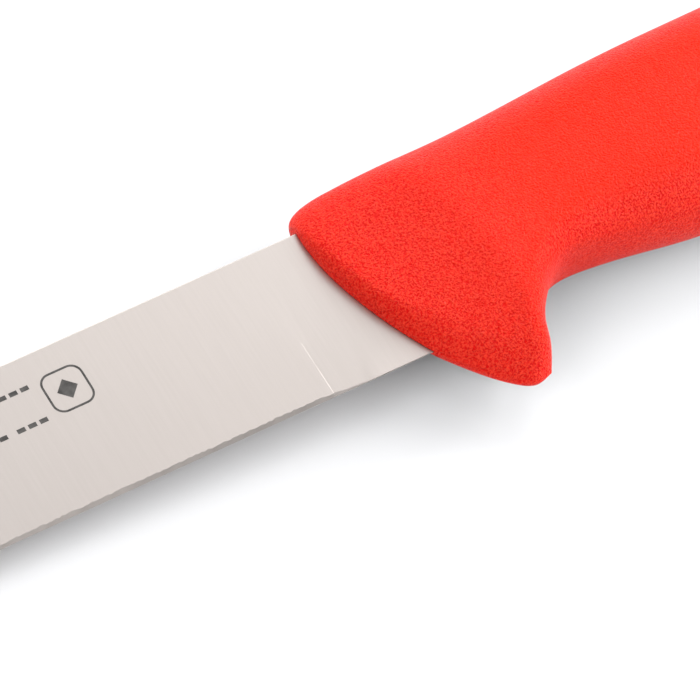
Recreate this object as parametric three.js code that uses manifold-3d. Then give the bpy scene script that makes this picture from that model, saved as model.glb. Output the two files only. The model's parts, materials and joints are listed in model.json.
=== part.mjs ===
// Boning knife with a ground steel blade and a moulded handle, lying on its side.
// Millimetres, +Z up. Everything is drawn in knife coordinates and then laid down:
//   +X towards the butt, +Y towards the spine, +Z out of the upper cheek,
//   with x = 0, y = 0 where the spine enters the handle and z = 0 on the middle plane.
import * as THREE from 'three';
import { mergeVertices } from 'three/addons/utils/BufferGeometryUtils.js';
import Module from 'manifold-3d';

const wasm = await Module();
wasm.setup();

// ---------------------------------------------------------------- driving dimensions
const BLADE_LENGTH = 180;          // handle to tip, a 7 inch blade
const BLADE_HEIGHT = 27;           // spine to cutting edge at the handle
const HEIGHT_TAPER = 0.007;        // height lost per millimetre towards the tip
const SPINE_HALF = 1.1;            // half the stock thickness at the handle
const SPINE_TAPER = 0.0012;        // half thickness lost per millimetre towards the tip
const GRIND_SLOPE = 0.033;         // half thickness lost per millimetre towards the edge
const BEVEL_WIDTH = 0.7;           // the sharpened strip along the edge
const EDGE_HALF = 0.04;            // half thickness left at the very edge
const BELLY_START = 98;            // distance from the handle where the edge starts to curve up
const SPINE_DROP_START = 128;      // distance from the handle where the spine starts to fall
const TIP_DROP = 5;                // how far the point lies below the spine line
const RICASSO_LENGTH = 9.2;        // stretch in front of the handle that the long grind leaves
const RICASSO_STEP = -0.03;        // how far that stretch stands off the ground cheek, at the edge
const BEVEL_FADE = 14;             // stretch over which the sharpened strip reaches its full width
const HEEL_DEPTH = 13;             // how far the full height of the blade enters the handle

const TANG_END = 100;              // from the front of the handle
const TANG_TOP = -3.5;
const TANG_BOTTOM = -18;
const TANG_HALF = 1;
const TANG_HOLES = [28, 54, 80];   // keying holes, from the front of the handle
const TANG_HOLE_RADIUS = 3.2;

const HANDLE_LENGTH = 133;
const GRIP_HALF = 10.2;            // half thickness at the palm swell
const NECK_HALF = 8.6;             // half thickness at the neck, behind the guard
const WAIST_HALF = 9.2;            // half thickness between swell and butt
const NOSE_HALF = 3.7;             // half thickness of the blunt rim round the front
const RIDGE_HALF = 8.8;            // half thickness along the ridge of the guard
const RIDGE_TOP = 17.5;            // where that ridge starts, at the back
const RIDGE_LEAN = 5.7;            // how far it leans towards the butt on its way down
const GUARD_THINNING = 0.35;       // share by which the guard thins towards its tip
const NOSE_DEPTH = 3.2;            // depth of the rounding along the front edge
const RIM_DEPTH = 5.5;             // the same along the lower edge of the guard
const BUTT_DEPTH = 9;              // depth of the rounding of the butt
const TOP_ROUND = 9.5;             // depth of the rounding along the back of the grip
const BELLY_ROUND = 14;            // depth of the rounding along its underside
const GUARD_ROUND = 4.5;           // the same behind the guard

const CORE_HALF = 5.6;             // half thickness of the inner moulding
const CORE_BEVEL = 2.4;
const CLEARANCE = 0.3;             // gap left between neighbouring pieces

const STATIONS_ALONG = 64;         // mesh density of the grip
const STATIONS_ACROSS = 26;

// ---------------------------------------------------------------- small helpers
const clamp01 = (value) => Math.min(Math.max(value, 0), 1);

const mix = (from, to, amount) => from + (to - from) * amount;

function smooth(value) {
  const t = clamp01(value);
  return t * t * (3 - 2 * t);
}

// Quarter round: rises from 0 to 1 while the distance grows from 0 to the radius.
function roundOver(distance, radius) {
  const gap = 1 - clamp01(distance / radius);
  return Math.sqrt(1 - gap * gap);
}

function curveThrough(points) {
  return new THREE.SplineCurve(points.map(([x, y]) => new THREE.Vector2(x, y)));
}

function toManifold(geometry) {
  const bare = geometry.clone();
  bare.deleteAttribute('normal');
  bare.deleteAttribute('uv');
  const merged = mergeVertices(bare, 1e-4);
  return new wasm.Manifold(new wasm.Mesh({
    numProp: 3,
    vertProperties: new Float32Array(merged.attributes.position.array),
    triVerts: new Uint32Array(merged.index.array),
  }));
}

function toGeometry(manifold) {
  const mesh = manifold.getMesh();
  const geometry = new THREE.BufferGeometry();
  geometry.setAttribute('position', new THREE.Float32BufferAttribute(mesh.vertProperties, 3));
  geometry.setIndex(Array.from(mesh.triVerts));
  geometry.computeVertexNormals();
  return geometry;
}

// ---------------------------------------------------------------- blade
// Distances are measured forward from the handle, so a section lies at x = -forward.
function spineHeight(forward) {
  const run = clamp01((forward - SPINE_DROP_START) / (BLADE_LENGTH - SPINE_DROP_START));
  return -TIP_DROP * run * run;
}

function edgeHeight(forward) {
  const straight = -BLADE_HEIGHT + HEIGHT_TAPER * forward;
  const run = clamp01((forward - BELLY_START) / (BLADE_LENGTH - BELLY_START));
  return mix(straight, -TIP_DROP - 0.3, Math.pow(run, 2.1));
}

// The ground cheek is one plane; the short ricasso behind it lies a little below it.
function cheekHalf(forward, y) {
  const ground = SPINE_HALF - SPINE_TAPER * forward + GRIND_SLOPE * y;
  const ricasso = clamp01((RICASSO_LENGTH + 0.5 - forward) / 0.8);
  const low = clamp01((-y / BLADE_HEIGHT - 0.46) / 0.54);
  return ground + RICASSO_STEP * ricasso * low;
}

function bladeSection(forward, grow) {
  const spine = spineHeight(forward) + grow;
  const edge = edgeHeight(forward) - grow;
  const sharp = smooth((forward - 1) / BEVEL_FADE);
  const shoulder = edge + Math.min(mix(0.1, BEVEL_WIDTH, sharp), (spine - edge) * 0.4);
  const middle = mix(spine, shoulder, 0.46);
  const shoulderHalf = cheekHalf(forward, shoulder) + grow;
  const upper = [
    [spine, cheekHalf(forward, spine) + grow],
    [middle, cheekHalf(forward, middle) + grow],
    [shoulder, shoulderHalf],
    [edge, mix(shoulderHalf, EDGE_HALF, sharp)],
  ];
  const lower = upper.map(([y, z]) => [y, -z]).reverse();
  return [...upper, ...lower].map(([y, z]) => [-forward, y, z]);
}

// Closed solid through a row of sections with equal numbers of points.
function loft(sections) {
  const count = sections[0].length;
  const indices = [];
  for (let i = 0; i + 1 < sections.length; i += 1) {
    for (let j = 0; j < count; j += 1) {
      const a = i * count + j;
      const b = i * count + (j + 1) % count;
      indices.push(a, a + count, b, b, a + count, b + count);
    }
  }
  const last = (sections.length - 1) * count;
  for (let j = 1; j + 1 < count; j += 1) {
    indices.push(0, j, j + 1);
    indices.push(last, last + j + 1, last + j);
  }
  const geometry = new THREE.BufferGeometry();
  geometry.setAttribute('position', new THREE.Float32BufferAttribute(sections.flat(2), 3));
  geometry.setIndex(indices);
  return geometry;
}

function bladeStations() {
  const ricasso = [-HEEL_DEPTH, 0, 1, 5, RICASSO_LENGTH - 0.3, RICASSO_LENGTH + 0.5];
  const stations = [...ricasso, 12, 1 + BEVEL_FADE, 40, 70];
  const curved = 18;
  for (let i = 0; i <= curved; i += 1) {
    stations.push(mix(BELLY_START, BLADE_LENGTH, Math.sin((i / curved) * Math.PI / 2)));
  }
  return stations;
}

function tangGeometry(grow) {
  const outline = new THREE.Shape();
  const top = TANG_TOP + grow;
  const bottom = TANG_BOTTOM - grow;
  const radius = (top - bottom) / 2;
  const end = TANG_END + grow;
  outline.moveTo(HEEL_DEPTH - 2, bottom);
  outline.lineTo(end - radius, bottom);
  outline.absarc(end - radius, bottom + radius, radius, -Math.PI / 2, Math.PI / 2, false);
  outline.lineTo(HEEL_DEPTH - 2, top);
  outline.closePath();
  for (const x of TANG_HOLES) {
    const hole = new THREE.Path();
    hole.absarc(x, (top + bottom) / 2, TANG_HOLE_RADIUS - grow, 0, 2 * Math.PI, true);
    outline.holes.push(hole);
  }
  const depth = 2 * (TANG_HALF + grow);
  const geometry = new THREE.ExtrudeGeometry(outline, { depth, bevelEnabled: false, curveSegments: 10 });
  return geometry.translate(0, 0, -depth / 2);
}

// The blade with its tang; with a clearance it is the room that both take inside the handle.
function bladeSolid(grow) {
  const stations = grow > 0 ? [-HEEL_DEPTH - grow, 0, 12, 24] : bladeStations();
  const sections = stations.map((forward) => bladeSection(forward, grow));
  return toManifold(loft(sections)).add(toManifold(tangGeometry(grow)));
}

// ---------------------------------------------------------------- handle
// The side outline in four runs. Front: guard tip to the front top corner. Back: the line that
// carries on from the spine. Underside: guard tip, behind the guard, neck, belly and butt hook.
const FRONT_RUN = curveThrough([
  [22.5, -38.5], [19, -39], [15, -36], [10.5, -30.5], [7, -25], [3.5, -17.5], [1, -10], [0, -4],
  [0, 0],
]);
const BACK_RUN = curveThrough([
  [0, 0], [0.5, 2.5], [4, 4], [11, 4.5], [28, 4.5], [54, 6], [72, 6.5], [90, 6.5], [106, 5],
  [119, 4.5], [128, 3],
]);
const UNDER_RUN = curveThrough([
  [22.5, -38.5], [24.5, -35], [26, -31], [28.5, -27.5], [32, -24.5], [37, -23.5], [46, -25],
  [60, -27.5], [76, -28], [92, -26.5], [106, -24.5], [117, -26], [125, -29.5],
]);
const BUTT_RUN = curveThrough([
  [125, -29.5], [129, -28.5], [131.5, -24], [HANDLE_LENGTH, -14], [132.5, -5], [128, 3],
]);
const END_FADE = 4; // how fast the shapes of the two ends die out along the handle

// Fills the outline with a smooth net: u runs from the front to the butt, v from below to above.
function outlinePoint(u, v) {
  const below = UNDER_RUN.getPointAt(u);
  const above = BACK_RUN.getPointAt(u);
  const front = FRONT_RUN.getPointAt(v);
  const butt = BUTT_RUN.getPointAt(v);
  const frontChord = FRONT_RUN.getPointAt(0).lerp(FRONT_RUN.getPointAt(1), v);
  const buttChord = BUTT_RUN.getPointAt(0).lerp(BUTT_RUN.getPointAt(1), v);
  const point = below.clone().lerp(above, v);
  point.addScaledVector(front.clone().sub(frontChord), (1 - u) ** END_FADE);
  point.addScaledVector(butt.clone().sub(buttChord), u ** END_FADE);
  return { point, below, above, front, butt };
}

// The smaller of two values, with the corner where they cross rounded off.
function softMinimum(a, b, blend) {
  return -blend * Math.log(Math.exp(-a / blend) + Math.exp(-b / blend));
}

// Half thickness of the cheek: a front face that rises to the guard's ridge, then neck, swell
// and waist. The guard gets thinner towards its tip.
function cheekHeight(x, y, fromFront) {
  const toSwell = mix(NECK_HALF, GRIP_HALF, smooth((x - 30) / 36));
  const toWaist = mix(toSwell, WAIST_HALF, smooth((x - 92) / 16));
  const grip = mix(toWaist, GRIP_HALF, smooth((x - 108) / 14));
  const ridge = RIDGE_TOP + RIDGE_LEAN * Math.sin(clamp01(-y / 24) * Math.PI / 2);
  const rise = fromFront / Math.max(fromFront + ridge - x, 1);
  const flare = mix(NOSE_HALF, RIDGE_HALF, Math.pow(Math.min(rise, 1.5), 1.15));
  const behind = mix(RIDGE_HALF, grip, smooth((x - ridge) / 14));
  const height = softMinimum(flare, behind, 0.25);
  const guard = smooth((42 - x) / 16);
  return height * (1 - GUARD_THINNING * guard * Math.pow(clamp01((-16 - y) / 21), 1.5));
}

function gripHalf(u, v) {
  const { point, below, above, front, butt } = outlinePoint(u, v);
  const height = above.distanceTo(below);
  const fromFront = point.distanceTo(front);
  const underRound = mix(GUARD_ROUND, BELLY_ROUND, smooth((point.x - 25) / 20));
  const noseRound = mix(NOSE_DEPTH, RIM_DEPTH, smooth((-16 - point.y) / 12));
  const rounding = roundOver((1 - v) * height, TOP_ROUND) * roundOver(v * height, underRound)
    * roundOver(fromFront, noseRound) * roundOver(point.distanceTo(butt), BUTT_DEPTH);
  return { point, half: cheekHeight(point.x, point.y, fromFront) * rounding };
}

function gripOuter() {
  const positions = [];
  const indices = [];
  const row = STATIONS_ACROSS + 1;
  const sheet = (STATIONS_ALONG + 1) * row;
  for (const side of [1, -1]) {
    for (let i = 0; i <= STATIONS_ALONG; i += 1) {
      const u = (1 - Math.cos(Math.PI * i / STATIONS_ALONG)) / 2;
      for (let j = 0; j <= STATIONS_ACROSS; j += 1) {
        const v = (1 - Math.cos(Math.PI * j / STATIONS_ACROSS)) / 2;
        const { point, half } = gripHalf(u, v);
        const onOutline = i === 0 || j === 0 || i === STATIONS_ALONG || j === STATIONS_ACROSS;
        positions.push(point.x, point.y, onOutline ? 0 : side * Math.max(half, 0.02));
      }
    }
    const base = side > 0 ? 0 : sheet;
    for (let i = 0; i < STATIONS_ALONG; i += 1) {
      for (let j = 0; j < STATIONS_ACROSS; j += 1) {
        const a = base + i * row + j;
        const b = a + row;
        if (side > 0) {
          indices.push(a, b, a + 1, b, b + 1, a + 1);
        } else {
          indices.push(a, a + 1, b, b, a + 1, b + 1);
        }
      }
    }
  }
  const geometry = new THREE.BufferGeometry();
  geometry.setAttribute('position', new THREE.Float32BufferAttribute(positions, 3));
  geometry.setIndex(indices);
  return toManifold(geometry);
}

// The hard inner moulding fills the middle of the grip around the tang.
function coreOuter(grow) {
  const outline = new THREE.Shape();
  outline.moveTo(17, -2.5);
  outline.lineTo(15.5, -12);
  outline.lineTo(19.5, -18.5);
  outline.bezierCurveTo(34, -16.5, 48, -19.5, 70, -20);
  outline.bezierCurveTo(86, -20, 98, -17.5, 110, -19);
  outline.bezierCurveTo(118, -19, 121, -3, 112, -1.5);
  outline.bezierCurveTo(84, 0.8, 46, -0.6, 17, -2.5);
  const half = CORE_HALF - CORE_BEVEL;
  const geometry = new THREE.ExtrudeGeometry(outline, {
    depth: 2 * half,
    bevelEnabled: true,
    bevelThickness: CORE_BEVEL + grow,
    bevelSize: CORE_BEVEL - 1 + grow,
    bevelOffset: 0,
    bevelSegments: 3,
    curveSegments: 8,
  });
  return toManifold(geometry.translate(0, 0, -half));
}

// ---------------------------------------------------------------- pieces
const steel = new THREE.MeshStandardMaterial({ color: 0xc9c6c2, roughness: 0.35, metalness: 1 });
const corePlastic = new THREE.MeshStandardMaterial({ color: 0xd8d4c8, roughness: 0.6, metalness: 0 });
const gripPlastic = new THREE.MeshStandardMaterial({ color: 0xe52517, roughness: 0.55, metalness: 0 });

function piece(name, manifold, material) {
  const mesh = new THREE.Mesh(toGeometry(manifold), material);
  mesh.name = name;
  return mesh;
}

const bladeRoom = bladeSolid(CLEARANCE);
const blade = piece('blade', bladeSolid(0), steel);
const core = piece('handle_core', coreOuter(0).subtract(bladeRoom), corePlastic);
const gripSolid = gripOuter().subtract(bladeRoom).subtract(coreOuter(CLEARANCE));
const grip = piece('handle_grip', gripSolid, gripPlastic);

// ---------------------------------------------------------------- lying at rest
// Lowest height of a mesh once the knife is pitched point down by an angle.
function lowest(mesh, angle) {
  const { array } = mesh.geometry.attributes.position;
  let low = Infinity;
  for (let i = 0; i < array.length; i += 3) {
    low = Math.min(low, array[i] * Math.sin(angle) + array[i + 2] * Math.cos(angle));
  }
  return low;
}

// The knife lies on its point and on the lower cheek of its handle: find the pitch where both touch.
function restingPitch() {
  let level = 0;
  let steep = Math.PI / 18;
  for (let i = 0; i < 40; i += 1) {
    const middle = (level + steep) / 2;
    if (lowest(blade, middle) > lowest(grip, middle)) {
      level = middle;
    } else {
      steep = middle;
    }
  }
  return level;
}

const knife = new THREE.Group();
knife.add(blade, core, grip);
knife.rotation.y = -restingPitch();
knife.updateMatrixWorld(true);
const box = new THREE.Box3().setFromObject(knife, true);
const centre = box.getCenter(new THREE.Vector3());
knife.position.set(-centre.x, -centre.y, -box.min.z);

const object = new THREE.Group();
object.add(knife);

export default object;
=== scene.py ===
"""A boning knife lying on its side: ground steel blade, moulded red handle.

The shapes are written in knife coordinates, in millimetres: +X towards the butt, +Y towards the spine,
+Z out of the upper cheek, with x = y = 0 where the spine enters the handle and z = 0 on the middle plane.
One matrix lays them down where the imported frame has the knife.
"""
import json
import math

import bpy
import numpy as np
from mathutils import Matrix, Vector


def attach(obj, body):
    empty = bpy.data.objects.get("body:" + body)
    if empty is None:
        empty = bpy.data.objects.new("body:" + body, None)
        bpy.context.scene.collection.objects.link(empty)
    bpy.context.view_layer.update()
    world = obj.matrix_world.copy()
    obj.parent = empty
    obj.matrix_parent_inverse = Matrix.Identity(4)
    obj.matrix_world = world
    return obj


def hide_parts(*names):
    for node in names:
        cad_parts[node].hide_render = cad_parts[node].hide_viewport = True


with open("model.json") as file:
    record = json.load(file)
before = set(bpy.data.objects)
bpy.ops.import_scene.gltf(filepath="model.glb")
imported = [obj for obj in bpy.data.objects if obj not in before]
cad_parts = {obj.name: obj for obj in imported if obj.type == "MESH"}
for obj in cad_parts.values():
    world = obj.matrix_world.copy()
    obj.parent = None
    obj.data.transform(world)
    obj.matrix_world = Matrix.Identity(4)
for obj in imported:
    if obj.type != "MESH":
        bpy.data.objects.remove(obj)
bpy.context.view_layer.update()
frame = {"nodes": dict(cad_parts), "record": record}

MM = 0.001

# ------------------------------------------------------------------ blade, as in the CAD model
BLADE_LENGTH = 180
BLADE_HEIGHT = 27
HEIGHT_TAPER = 0.007
SPINE_HALF = 1.1
SPINE_TAPER = 0.0012
GRIND_SLOPE = 0.033
BEVEL_WIDTH = 0.7
BEVEL_CHATTER = 0.22               # share by which the hand-ground bevel varies in width
CHATTER_PITCH = 0.55
EDGE_HALF = 0.03
BELLY_START = 98
BELLY_POWER = 2.1
SPINE_DROP_START = 128
TIP_DROP = 5
POINT_HEIGHT = 0.3
RICASSO_LENGTH = 9.2
RICASSO_STEP = -0.03               # below the ground cheek, at the edge
GRIND_RUNOUT = 0.15
BEVEL_FADE = 14                    # the bevel grows to its full width over this much edge
HEEL_DEPTH = 13
SPINE_ROUND = 0.16                 # broken corners along the spine
BLADE_SHARP = 2.5                  # degrees between faces that are not shaded as one

MARK_CENTRE = (-44.5, -7.8)
MARK_SIZE = 7.0
MARK_LINE = 0.35
MARK_ROWS = ((-5.0, (5, 8)), (-10.9, (3, 4)))  # height on the blade, and dashes in each group
DASH_LENGTH = 1.35
DASH_GAP = 0.55
DASH_HEIGHT = 0.75
MARK_RISE = 0.012
MARK_DEPTH = 0.05
BADGE_CORNER = 1.9
ROW_MARGIN = 1.6                     # from the badge to the nearest dash

TANG_END = 100
TANG_TOP = -3.5
TANG_BOTTOM = -18
TANG_HALF = 1.0
TANG_HOLES = (28, 54, 80)
TANG_HOLE_RADIUS = 3.2

# ------------------------------------------------------------------ handle, as in the CAD model
GRIP_HALF = 10.2
NECK_HALF = 8.6
WAIST_HALF = 9.2
NOSE_HALF = 3.7                    # half thickness of the rim round the front
RIDGE_HALF = 8.8                   # half thickness along the ridge of the guard
RIDGE_TOP = 17.5                   # where that ridge starts, along the back
RIDGE_LEAN = 5.7                   # how far it leans towards the butt on its way down
GUARD_THINNING = 0.35              # how much thinner the guard is at its tip
NOSE_DEPTH = 3.2                   # how far the front edge is rounded back
RIM_DEPTH = 5.5                    # the same along the lower edge of the guard
BUTT_DEPTH = 9
TOP_ROUND = 9.5
BELLY_ROUND = 14
GUARD_ROUND = 4.5
BLADE_ROOM = 0.1                     # gap round the blade inside the handle
END_FADE = 4                       # how fast the shapes of the two ends die out along the handle
SKIN_SHARE = 0.998                 # keeps this finer skin inside the faceted one of the CAD model

FRONT_RUN = [
    (22.5, -38.5), (19, -39), (15, -36), (10.5, -30.5), (7, -25), (3.5, -17.5), (1, -10), (0, -4),
    (0, 0),
]
BACK_RUN = [
    (0, 0), (0.5, 2.5), (4, 4), (11, 4.5), (28, 4.5), (54, 6), (72, 6.5), (90, 6.5), (106, 5),
    (119, 4.5), (128, 3),
]
UNDER_RUN = [
    (22.5, -38.5), (24.5, -35), (26, -31), (28.5, -27.5), (32, -24.5), (37, -23.5), (46, -25),
    (60, -27.5), (76, -28), (92, -26.5), (106, -24.5), (117, -26), (125, -29.5),
]
BUTT_RUN = [(125, -29.5), (129, -28.5), (131.5, -24), (133, -14), (132.5, -5), (128, 3)]

CHEEK_POINT = (80, -10, -GRIP_HALF)  # the handle_cheek mount, in knife coordinates


def laid_down():
    """The matrix from knife coordinates in metres to the row frame, from the handle's resting face."""
    rest = next(m for m in frame["record"]["mounts"] if m["name"] == "handle_cheek")
    axis = Vector(rest["axis"])
    turn = Matrix.Rotation(-math.atan2(axis.x, -axis.z), 4, "Y")
    shift = Vector(rest["pos_m"]) - turn @ (Vector(CHEEK_POINT) * MM)
    return Matrix.Translation(shift) @ turn


KNIFE = laid_down()


# ------------------------------------------------------------------ camera, floor and light
VIEW_AZIMUTH = -44.2
VIEW_ELEVATION = 57.95
VIEW_ROLL = 14.72
VIEW_DISTANCE = 662.9
VIEW_TARGET = (-2.9, -21.0, 0)
LENS = 226.3
SENSOR = 36

PANEL_DISTANCE = 2.4
PANEL_SIZE = 1.6


def add_camera():
    """A long lens from the edge side of the knife, turned a little on its own axis."""
    azimuth, elevation, roll = (math.radians(a) for a in (VIEW_AZIMUTH, VIEW_ELEVATION, VIEW_ROLL))
    back = Vector((
        math.sin(azimuth) * math.cos(elevation),
        -math.cos(azimuth) * math.cos(elevation),
        math.sin(elevation),
    ))
    level = Vector((math.cos(azimuth), math.sin(azimuth), 0))
    rise = back.cross(level)
    right = level * math.cos(roll) + rise * math.sin(roll)
    up = rise * math.cos(roll) - level * math.sin(roll)
    pose = Matrix((right, up, back)).transposed().to_4x4()
    pose.translation = (Vector(VIEW_TARGET) + back * VIEW_DISTANCE) * MM
    data = bpy.data.cameras.new("camera")
    data.lens = LENS
    data.sensor_width = SENSOR
    data.clip_start = 0.01
    camera = bpy.data.objects.new("camera", data)
    camera.matrix_world = KNIFE @ pose
    bpy.context.scene.collection.objects.link(camera)
    bpy.context.scene.camera = camera


def add_floor():
    size = 4.0
    mesh = bpy.data.meshes.new("floor")
    corners = [(-size, -size, 0), (size, -size, 0), (size, size, 0), (-size, size, 0)]
    mesh.from_pydata(corners, [], [(0, 1, 2, 3)])
    floor = bpy.data.objects.new("floor", mesh)
    bpy.context.scene.collection.objects.link(floor)
    material = bpy.data.materials.new("floor")
    material.use_nodes = True
    shader = material.node_tree.nodes["Principled BSDF"]
    shader.inputs["Base Color"].default_value = (0.748, 0.75, 0.76, 1)
    shader.inputs["Roughness"].default_value = 0.7
    shader.inputs["Specular IOR Level"].default_value = 0.2
    floor.data.materials.append(material)


def add_softbox(name, azimuth, elevation, power):
    """A square soft light that faces the knife; azimuth counts from +Y to +X."""
    a, e = math.radians(azimuth), math.radians(elevation)
    place = Vector((math.sin(a) * math.cos(e), math.cos(a) * math.cos(e), math.sin(e))) * PANEL_DISTANCE
    data = bpy.data.lights.new(name, "AREA")
    data.size = PANEL_SIZE
    data.energy = power
    light = bpy.data.objects.new(name, data)
    light.location = place
    light.rotation_euler = place.to_track_quat("Z", "Y").to_euler()
    bpy.context.scene.collection.objects.link(light)


def add_light():
    """Low panels behind the spine and to the right, with softer ones above that fill the rest."""
    for name, azimuth, elevation, power in (
        ("back", 0, 20, 45),
        ("right", 90, 20, 65),
        ("front_right", 135, 20, 35),
        ("left", 270, 40, 32),
        ("back_right", 45, 40, 22),
        ("front_left", 225, 45, 10),
        ("ceiling", 20, 75, 8),
    ):
        add_softbox(name, azimuth, elevation, power)
    world = bpy.data.worlds.new("studio")
    world.use_nodes = True
    background = world.node_tree.nodes["Background"]
    background.inputs["Color"].default_value = (0.97, 0.98, 1.0, 1)
    background.inputs["Strength"].default_value = 0.2
    bpy.context.scene.world = world
    bpy.context.scene.view_settings.view_transform = "Standard"
    bpy.context.scene.view_settings.look = "None"


# ------------------------------------------------------------------ shape helpers
def mix(start, end, amount):
    return start + (end - start) * amount


def clamp01(value):
    return np.clip(value, 0.0, 1.0)


def smooth(value):
    t = clamp01(value)
    return t * t * (3 - 2 * t)


def round_over(distance, radius):
    """A quarter round: from 0 to 1 while the distance grows from 0 to the radius."""
    gap = 1 - clamp01(distance / radius)
    return np.sqrt(1 - gap * gap)


def curve_through(points, shares, density=60):
    """Places on a Catmull-Rom curve through the points, at these shares of its length."""
    points = np.array(points, float)
    last = len(points) - 1
    t = np.linspace(0, last, last * density + 1)
    i = np.minimum(t.astype(int), last - 1)
    w = (t - i)[:, None]
    before, start = points[np.maximum(i - 1, 0)], points[i]
    end, after = points[i + 1], points[np.minimum(i + 2, last)]
    leave, arrive = (end - before) / 2, (after - start) / 2
    track = ((2 * start - 2 * end + leave + arrive) * w**3
             + (3 * end - 3 * start - 2 * leave - arrive) * w**2 + leave * w + start)
    length = np.concatenate([[0], np.cumsum(np.hypot(*np.diff(track, axis=0).T))])
    length /= length[-1]
    return np.stack([np.interp(shares, length, track[:, k]) for k in (0, 1)], axis=-1)


def new_object(name, vertices, faces, sharp_degrees=None):
    """A mesh object from knife coordinates in millimetres, laid down in the row frame."""
    mesh = bpy.data.meshes.new(name)
    mesh.from_pydata((np.asarray(vertices) * MM).tolist(), [], [list(map(int, f)) for f in faces])
    mesh.transform(KNIFE)
    mesh.validate()
    obj = bpy.data.objects.new(name, mesh)
    bpy.context.scene.collection.objects.link(obj)
    finish_mesh(mesh, sharp_degrees)
    return obj


def finish_mesh(mesh, sharp_degrees):
    mesh.shade_smooth()
    if sharp_degrees:
        mesh.set_sharp_from_angle(angle=math.radians(sharp_degrees))


def boolean(obj, other, operation, sharp_degrees):
    """Joins or cuts obj with other, which is used up."""
    modifier = obj.modifiers.new("boolean", "BOOLEAN")
    modifier.operation = operation
    modifier.object = other
    modifier.solver = "EXACT"
    bpy.context.view_layer.update()
    result = bpy.data.meshes.new_from_object(obj.evaluated_get(bpy.context.evaluated_depsgraph_get()))
    obj.modifiers.clear()
    result.name = obj.name
    obj.data = result
    finish_mesh(result, sharp_degrees)
    bpy.data.objects.remove(other)


def loft(name, sections, sharp_degrees=None):
    """A closed solid through sections with equal numbers of points."""
    count = len(sections[0])
    faces = []
    for i in range(len(sections) - 1):
        for j in range(count):
            a, b = i * count + j, i * count + (j + 1) % count
            faces.append((a, a + count, b + count, b))
    faces.append(tuple(range(count)))
    faces.append(tuple(reversed(range((len(sections) - 1) * count, len(sections) * count))))
    return new_object(name, np.concatenate(sections), faces, sharp_degrees)


# ------------------------------------------------------------------ blade
def spine_height(forward):
    run = clamp01((forward - SPINE_DROP_START) / (BLADE_LENGTH - SPINE_DROP_START))
    return -TIP_DROP * run * run


def edge_height(forward):
    straight = -BLADE_HEIGHT + HEIGHT_TAPER * forward
    run = clamp01((forward - BELLY_START) / (BLADE_LENGTH - BELLY_START))
    return mix(straight, -TIP_DROP - POINT_HEIGHT, run**BELLY_POWER)


def cheek_half(forward, y):
    """Half thickness of the blade: one ground plane, with the ricasso a little below it."""
    ground = SPINE_HALF - SPINE_TAPER * forward + GRIND_SLOPE * y
    ricasso = clamp01((RICASSO_LENGTH - forward) / GRIND_RUNOUT)
    low = clamp01((-y / BLADE_HEIGHT - 0.46) / 0.54)
    return ground + RICASSO_STEP * ricasso * low


def blade_section(forward, grow=0.0, chatter=0.0):
    """One ring of points; chatter is how much wider the sharpened bevel is just here."""
    spine, edge = spine_height(forward) + grow, edge_height(forward) - grow
    sharp = smooth((forward - 1) / BEVEL_FADE)
    shoulder = edge + min(mix(0.1, BEVEL_WIDTH, sharp) * (1 + chatter), (spine - edge) * 0.4)
    corner = min(SPINE_ROUND, (spine - edge) * 0.2)
    upper = []
    for k in range(4):
        turn = k / 3 * math.pi / 2
        y = spine - corner * (1 - math.cos(turn))
        upper.append((y, cheek_half(forward, spine - corner) + grow - corner * (1 - math.sin(turn))))
    for share in (0.16, 0.3, 0.46, 0.64, 0.82, 1.0):
        y = mix(spine - corner, shoulder, share)
        upper.append((y, cheek_half(forward, y) + grow))
    upper.append((edge, mix(upper[-1][1], EDGE_HALF, sharp)))
    ring = upper + [(y, -z) for y, z in reversed(upper)]
    return np.array([(-forward, y, z) for y, z in ring])


def blade_stations():
    heel = [-HEEL_DEPTH, -6, 0, 1, 2, 3, 4, 5.5, 7, RICASSO_LENGTH - GRIND_RUNOUT, RICASSO_LENGTH]
    straight = list(np.arange(10, BELLY_START, CHATTER_PITCH))
    run = np.sin(np.linspace(0, 1, 70) * math.pi / 2)
    return heel + straight + list(mix(BELLY_START, BLADE_LENGTH, run))


def tang(name, grow=0.0):
    """The stub inside the handle: a flat bar with a round end and keying holes, as a closed solid."""
    top, bottom, half = TANG_TOP + grow, TANG_BOTTOM - grow, TANG_HALF + grow
    radius, middle = (top - bottom) / 2, (top + bottom) / 2
    end = TANG_END + grow - radius
    arc = np.linspace(-math.pi / 2, math.pi / 2, 25)
    outline = [(HEEL_DEPTH - 2, bottom)]
    outline += [(end + radius * math.cos(a), middle + radius * math.sin(a)) for a in arc]
    outline += [(HEEL_DEPTH - 2, top)]
    bar = prism(name, outline, half)
    for x in TANG_HOLES:
        ring = np.linspace(0, 2 * math.pi, 33)[:-1]
        reach = TANG_HOLE_RADIUS - grow
        circle = [(x + reach * math.cos(a), middle + reach * math.sin(a)) for a in ring]
        hole = prism("hole", circle, half + 1)
        boolean(bar, hole, "DIFFERENCE", 30)
    return bar


def prism(name, outline, half):
    """A flat plate of this outline, anticlockwise, from -half to half."""
    count = len(outline)
    vertices = [(x, y, z) for z in (-half, half) for x, y in outline]
    faces = [tuple(reversed(range(count))), tuple(range(count, 2 * count))]
    faces += [(i, (i + 1) % count, (i + 1) % count + count, i + count) for i in range(count)]
    return new_object(name, vertices, faces, 30)


def make_blade():
    stations = blade_stations()
    chatter = np.random.default_rng(5).uniform(-BEVEL_CHATTER, BEVEL_CHATTER, len(stations))
    sections = [blade_section(f, chatter=c) for f, c in zip(stations, chatter)]
    blade = loft("blade_ground", sections, BLADE_SHARP)
    boolean(blade, tang("tang"), "UNION", BLADE_SHARP)
    return blade


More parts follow.
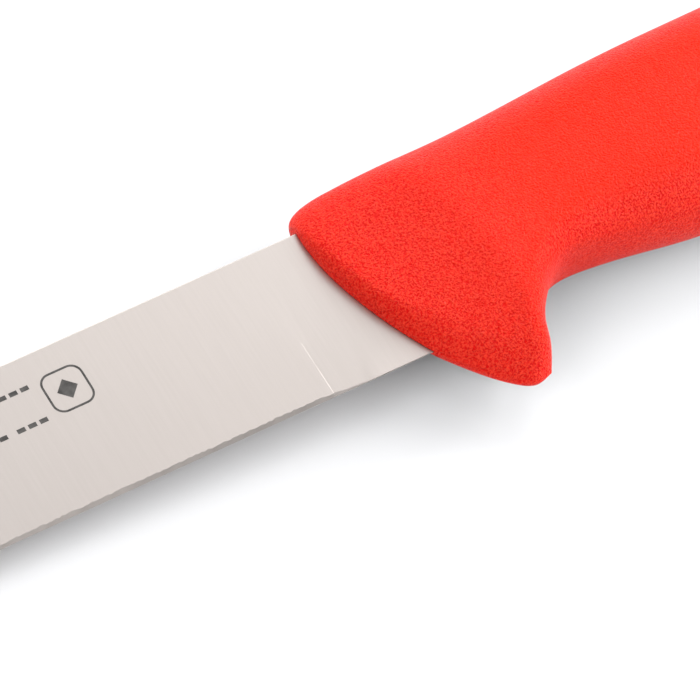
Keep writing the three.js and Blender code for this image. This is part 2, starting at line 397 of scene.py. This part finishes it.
# ------------------------------------------------------------------ marks etched on the upper cheek
def mark_solid(outer, inner=None):
    """A thin plate on the blade's upper cheek, or a band between two outlines with as many points."""
    loops = [outer] if inner is None else [outer, inner]
    count, levels = len(outer), (-MARK_DEPTH, MARK_RISE)
    vertices = [(x, y, cheek_half(-x, y) + lift) for lift in levels for loop in loops for x, y in loop]
    top = count * len(loops)
    faces = []
    for i in range(count):
        j = (i + 1) % count
        faces.append((i, j, top + j, top + i))
        if inner is not None:
            faces.append((count + j, count + i, top + count + i, top + count + j))
            faces.append((top + i, top + j, top + count + j, top + count + i))
            faces.append((j, i, count + i, count + j))
    if inner is None:
        faces.append(tuple(range(top, top + count)))
        faces.append(tuple(reversed(range(count))))
    return vertices, faces


def rounded_square(half, corner):
    x0, y0 = MARK_CENTRE
    points = []
    for quarter in range(4):
        for turn in np.linspace(0, math.pi / 2, 9) + quarter * math.pi / 2:
            sx = 1 if quarter in (0, 3) else -1
            sy = 1 if quarter in (0, 1) else -1
            points.append((x0 + sx * (half - corner) + corner * math.cos(turn),
                           y0 + sy * (half - corner) + corner * math.sin(turn)))
    return points


def dash(x, y):
    """One dash of a row, its right-hand end at x."""
    half = DASH_HEIGHT / 2
    return [(x - DASH_LENGTH, y - half), (x, y - half), (x, y + half), (x - DASH_LENGTH, y + half)]


def make_marks():
    """A plain badge, a diamond in a frame, and two rows of dashes beside it; no lettering."""
    x0, y0 = MARK_CENTRE
    half = MARK_SIZE / 2
    inner = rounded_square(half - MARK_LINE, BADGE_CORNER - MARK_LINE)
    solids = [mark_solid(rounded_square(half, BADGE_CORNER), inner)]
    reach = half * 0.5
    solids.append(mark_solid([(x0 + reach, y0), (x0, y0 + reach), (x0 - reach, y0), (x0, y0 - reach)]))
    for y, groups in MARK_ROWS:
        x = x0 - half - ROW_MARGIN
        for number in groups:
            for _ in range(number):
                solids.append(mark_solid(dash(x, y)))
                x -= DASH_LENGTH + DASH_GAP
            x -= 2 * DASH_GAP
    vertices, faces = [], []
    for points, sides in solids:
        faces += [tuple(len(vertices) + i for i in side) for side in sides]
        vertices += points
    return new_object("blade_marks", vertices, faces, 30)


# ------------------------------------------------------------------ handle
def handle_net(along=340, across=150):
    """The middle plane of the handle filled with a net, and its half thickness at each knot."""
    u = (1 - np.cos(np.pi * np.arange(along + 1) / along)) / 2
    v = (1 - np.cos(np.pi * np.arange(across + 1) / across)) / 2
    below = curve_through(UNDER_RUN, u)[:, None]
    above = curve_through(BACK_RUN, u)[:, None]
    front = curve_through(FRONT_RUN, v)[None]
    butt = curve_through(BUTT_RUN, v)[None]
    u, v = u[:, None, None], v[None, :, None]
    point = mix(below, above, v)
    point = point + (front - mix(front[:, :1], front[:, -1:], v)) * (1 - u)**END_FADE
    point = point + (butt - mix(butt[:, :1], butt[:, -1:], v)) * u**END_FADE
    height = np.linalg.norm(above - below, axis=2)
    from_top, from_bottom = (1 - v[..., 0]) * height, v[..., 0] * height
    from_front = np.linalg.norm(point - front, axis=2)
    from_butt = np.linalg.norm(point - butt, axis=2)
    x, y = point[..., 0], point[..., 1]
    under_round = mix(GUARD_ROUND, BELLY_ROUND, smooth((x - 25) / 20))
    nose_round = mix(NOSE_DEPTH, RIM_DEPTH, smooth((-16 - y) / 12))
    rounding = (round_over(from_top, TOP_ROUND) * round_over(from_bottom, under_round)
                * round_over(from_front, nose_round) * round_over(from_butt, BUTT_DEPTH))
    return point, cheek_height(x, y, from_front) * rounding * SKIN_SHARE


def cheek_height(x, y, from_front):
    """Half thickness of the cheek: a flared front up to the ridge, then neck, swell and waist."""
    to_swell = mix(NECK_HALF, GRIP_HALF, smooth((x - 30) / 36))
    to_waist = mix(to_swell, WAIST_HALF, smooth((x - 92) / 16))
    grip = mix(to_waist, GRIP_HALF, smooth((x - 108) / 14))
    ridge = RIDGE_TOP + RIDGE_LEAN * np.sin(clamp01(-y / 24) * math.pi / 2)
    rise = from_front / np.maximum(from_front + ridge - x, 1)
    flare = mix(NOSE_HALF, RIDGE_HALF, np.minimum(rise, 1.5)**1.15)
    behind = mix(RIDGE_HALF, grip, smooth((x - ridge) / 14))
    height = soft_minimum(flare, behind, 0.25)
    guard = smooth((42 - x) / 16)
    return height * (1 - GUARD_THINNING * guard * clamp01((-16 - y) / 21)**1.5)


def soft_minimum(a, b, blend):
    return -blend * np.logaddexp(-a / blend, -b / blend)


def shell_from_net(name, point, half):
    """A closed skin: the net raised by its half thickness on both sides, joined along the outline."""
    rows, columns = half.shape
    index = np.arange(rows * columns).reshape(rows, columns)
    upper = np.concatenate([point, half[..., None]], axis=2).reshape(-1, 3)
    upper[index[[0, -1]].ravel(), 2] = 0
    upper[index[:, [0, -1]].ravel(), 2] = 0
    inner = index[1:-1, 1:-1].ravel()
    lower = upper[inner] * (1, 1, -1)
    mirror = index.copy()
    mirror[1:-1, 1:-1] = (rows * columns + np.arange(len(inner))).reshape(rows - 2, columns - 2)

    def quads(net):
        corners = [net[:-1, :-1], net[1:, :-1], net[1:, 1:], net[:-1, 1:]]
        return np.stack(corners, axis=-1).reshape(-1, 4)

    faces = np.concatenate([quads(index), quads(mirror)[:, ::-1]])
    return new_object(name, np.concatenate([upper, lower]), faces)


def make_handle():
    handle = shell_from_net("handle_moulding", *handle_net())
    stations = (-HEEL_DEPTH - BLADE_ROOM, -6, 0, 12, 24)
    room = loft("room", [blade_section(f, BLADE_ROOM) for f in stations])
    boolean(handle, room, "DIFFERENCE", 50)
    return handle


# ------------------------------------------------------------------ materials
class Nodes:
    """Short calls for one material's node tree."""

    def __init__(self, name):
        self.material = bpy.data.materials.new(name)
        self.material.use_nodes = True
        self.tree = self.material.node_tree
        self.shader = self.tree.nodes["Principled BSDF"]

    def add(self, kind, **settings):
        node = self.tree.nodes.new(kind)
        for key, value in settings.items():
            setattr(node, key, value)
        return node

    def link(self, output, node, socket):
        self.tree.links.new(output, node.inputs[socket])

    def fix(self, **values):
        for key, value in values.items():
            self.shader.inputs[key.replace("_", " ")].default_value = value

    def place(self, scale):
        """Object coordinates times a scale in each direction."""
        coordinates = self.add("ShaderNodeTexCoord")
        mapping = self.add("ShaderNodeMapping")
        mapping.inputs["Scale"].default_value = scale
        self.link(coordinates.outputs["Object"], mapping, "Vector")
        return mapping.outputs["Vector"]

    def noise(self, scale, detail=2.0, roughness=0.5, distortion=0.0):
        node = self.add("ShaderNodeTexNoise")
        node.inputs["Scale"].default_value = 1.0
        node.inputs["Detail"].default_value = detail
        node.inputs["Roughness"].default_value = roughness
        node.inputs["Distortion"].default_value = distortion
        self.link(self.place(scale), node, "Vector")
        return node.outputs["Fac"]

    def range(self, value, low, high, to_low, to_high):
        node = self.add("ShaderNodeMapRange")
        node.inputs["From Min"].default_value = low
        node.inputs["From Max"].default_value = high
        node.inputs["To Min"].default_value = to_low
        node.inputs["To Max"].default_value = to_high
        self.link(value, node, "Value")
        return node.outputs["Result"]

    def ramp(self, value, stops):
        node = self.add("ShaderNodeValToRGB")
        elements = node.color_ramp.elements
        while len(elements) < len(stops):
            elements.new(0.5)
        for element, (position, color) in zip(elements, stops):
            element.position = position
            element.color = (*color, 1)
        self.link(value, node, "Fac")
        return node.outputs["Color"]

    def rise(self, source, axis, start, end):
        """Rises from 0 to 1 while one part of a texture coordinate goes from start to end."""
        split = self.add("ShaderNodeSeparateXYZ")
        self.link(self.add("ShaderNodeTexCoord").outputs[source], split, "Vector")
        return self.range(split.outputs[axis], start, end, 0, 1)

    def product(self, first, second):
        node = self.add("ShaderNodeMath", operation="MULTIPLY")
        self.tree.links.new(first, node.inputs[0])
        self.tree.links.new(second, node.inputs[1])
        return node.outputs["Value"]

    def mix(self, factor, first, second):
        node = self.add("ShaderNodeMix", data_type="RGBA")
        self.link(factor, node, "Factor")
        self.tree.links.new(first, node.inputs[6])
        self.tree.links.new(second, node.inputs[7])
        return node.outputs[2]

    def bump(self, height, strength, distance):
        node = self.add("ShaderNodeBump")
        node.inputs["Strength"].default_value = strength
        node.inputs["Distance"].default_value = distance
        self.link(height, node, "Height")
        return node.outputs["Normal"]

    def neutral_bounce(self, grey):
        """Seen by light that bounces off the floor, the surface is grey, so its shadow stays neutral."""
        blend = self.add("ShaderNodeMixShader")
        plain = self.add("ShaderNodeBsdfDiffuse")
        plain.inputs["Color"].default_value = (grey, grey, grey, 1)
        self.link(self.add("ShaderNodeLightPath").outputs["Is Diffuse Ray"], blend, "Fac")
        self.tree.links.new(self.shader.outputs["BSDF"], blend.inputs[1])
        self.tree.links.new(plain.outputs["BSDF"], blend.inputs[2])
        self.link(blend.outputs["Shader"], self.tree.nodes["Material Output"], "Surface")


def steel_material():
    """Satin steel, ground across the blade."""
    n = Nodes("blade_steel")
    n.fix(Metallic=1.0)
    lines = n.noise((2600, 90, 90), detail=4.0, roughness=0.62)
    cloud = n.noise((38, 38, 38), detail=2.0)
    tone = n.ramp(lines, [(0.3, (0.448, 0.407, 0.384)), (0.7, (0.464, 0.423, 0.400))])
    n.link(tone, n.shader, "Base Color")
    n.link(n.range(cloud, 0.3, 0.7, 0.32, 0.38), n.shader, "Roughness")
    n.link(n.bump(lines, 0.10, 0.00001), n.shader, "Normal")
    return n.material


def etched_material():
    """Dark oxide of the etched marks, a little worn."""
    n = Nodes("etched_mark")
    n.fix(Metallic=0.3, Roughness=0.55)
    wear = n.noise((900, 900, 900))
    tone = n.ramp(wear, [(0.35, (0.035, 0.032, 0.030)), (0.75, (0.09, 0.085, 0.08))])
    n.link(tone, n.shader, "Base Color")
    return n.material


def grip_material():
    """Red moulded plastic with a pebbled grain whose colour follows the bump: painted shade in the pits
    and a painted sheen on the ridges, stronger where the surface faces up further back on the handle.
    """
    n = Nodes("grip_plastic")
    n.fix(Specular_IOR_Level=0.10)
    grain = n.noise((3200, 3200, 3200), detail=2.0, roughness=0.5, distortion=0.4)
    cloud = n.noise((700, 700, 700), detail=1.0)
    # Grain colour tied to the bump height: the darker red in the pits is painted shade, the paler, pinker
    # ridges a painted sheen.
    grain_shade_sheen_soft = n.ramp(grain, [(0.35, (0.88, 0.013, 0.0005)), (0.65, (0.94, 0.029, 0.008))])
    grain_shade_sheen_strong = n.ramp(grain, [(0.38, (0.80, 0.001, 0.0)), (0.60, (0.98, 0.045, 0.021))])
    # The strong painted shade and sheen is mixed in where the surface faces up, further back on the
    # handle; elsewhere the soft one is used.
    flat = n.product(n.rise("Normal", "Z", 0.85, 0.97), n.rise("Object", "X", 0.035, 0.06))
    n.link(n.mix(flat, grain_shade_sheen_strong, grain_shade_sheen_soft), n.shader, "Base Color")
    n.link(n.range(cloud, 0.3, 0.7, 0.34, 0.42), n.shader, "Roughness")
    n.link(n.bump(grain, 1.0, 0.0007), n.shader, "Normal")
    n.neutral_bounce(0.3)
    return n.material


def core_material():
    n = Nodes("core_plastic")
    n.fix(Roughness=0.6)
    n.link(n.ramp(n.noise((300, 300, 300)), [(0.3, (0.55, 0.52, 0.44)), (0.7, (0.62, 0.59, 0.5))]),
           n.shader, "Base Color")
    return n.material


def dress(obj, material):
    obj.data.materials.clear()
    obj.data.materials.append(material)


def add_piece(piece, material, node=None):
    dress(piece, material)
    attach(piece, "root")
    if node:
        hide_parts(node)


# ------------------------------------------------------------------ the knife
add_camera()
add_floor()
add_light()

add_piece(make_blade(), steel_material(), "blade")
add_piece(make_marks(), etched_material())
add_piece(make_handle(), grip_material(), "handle_grip")
dress(frame["nodes"]["handle_core"], core_material())
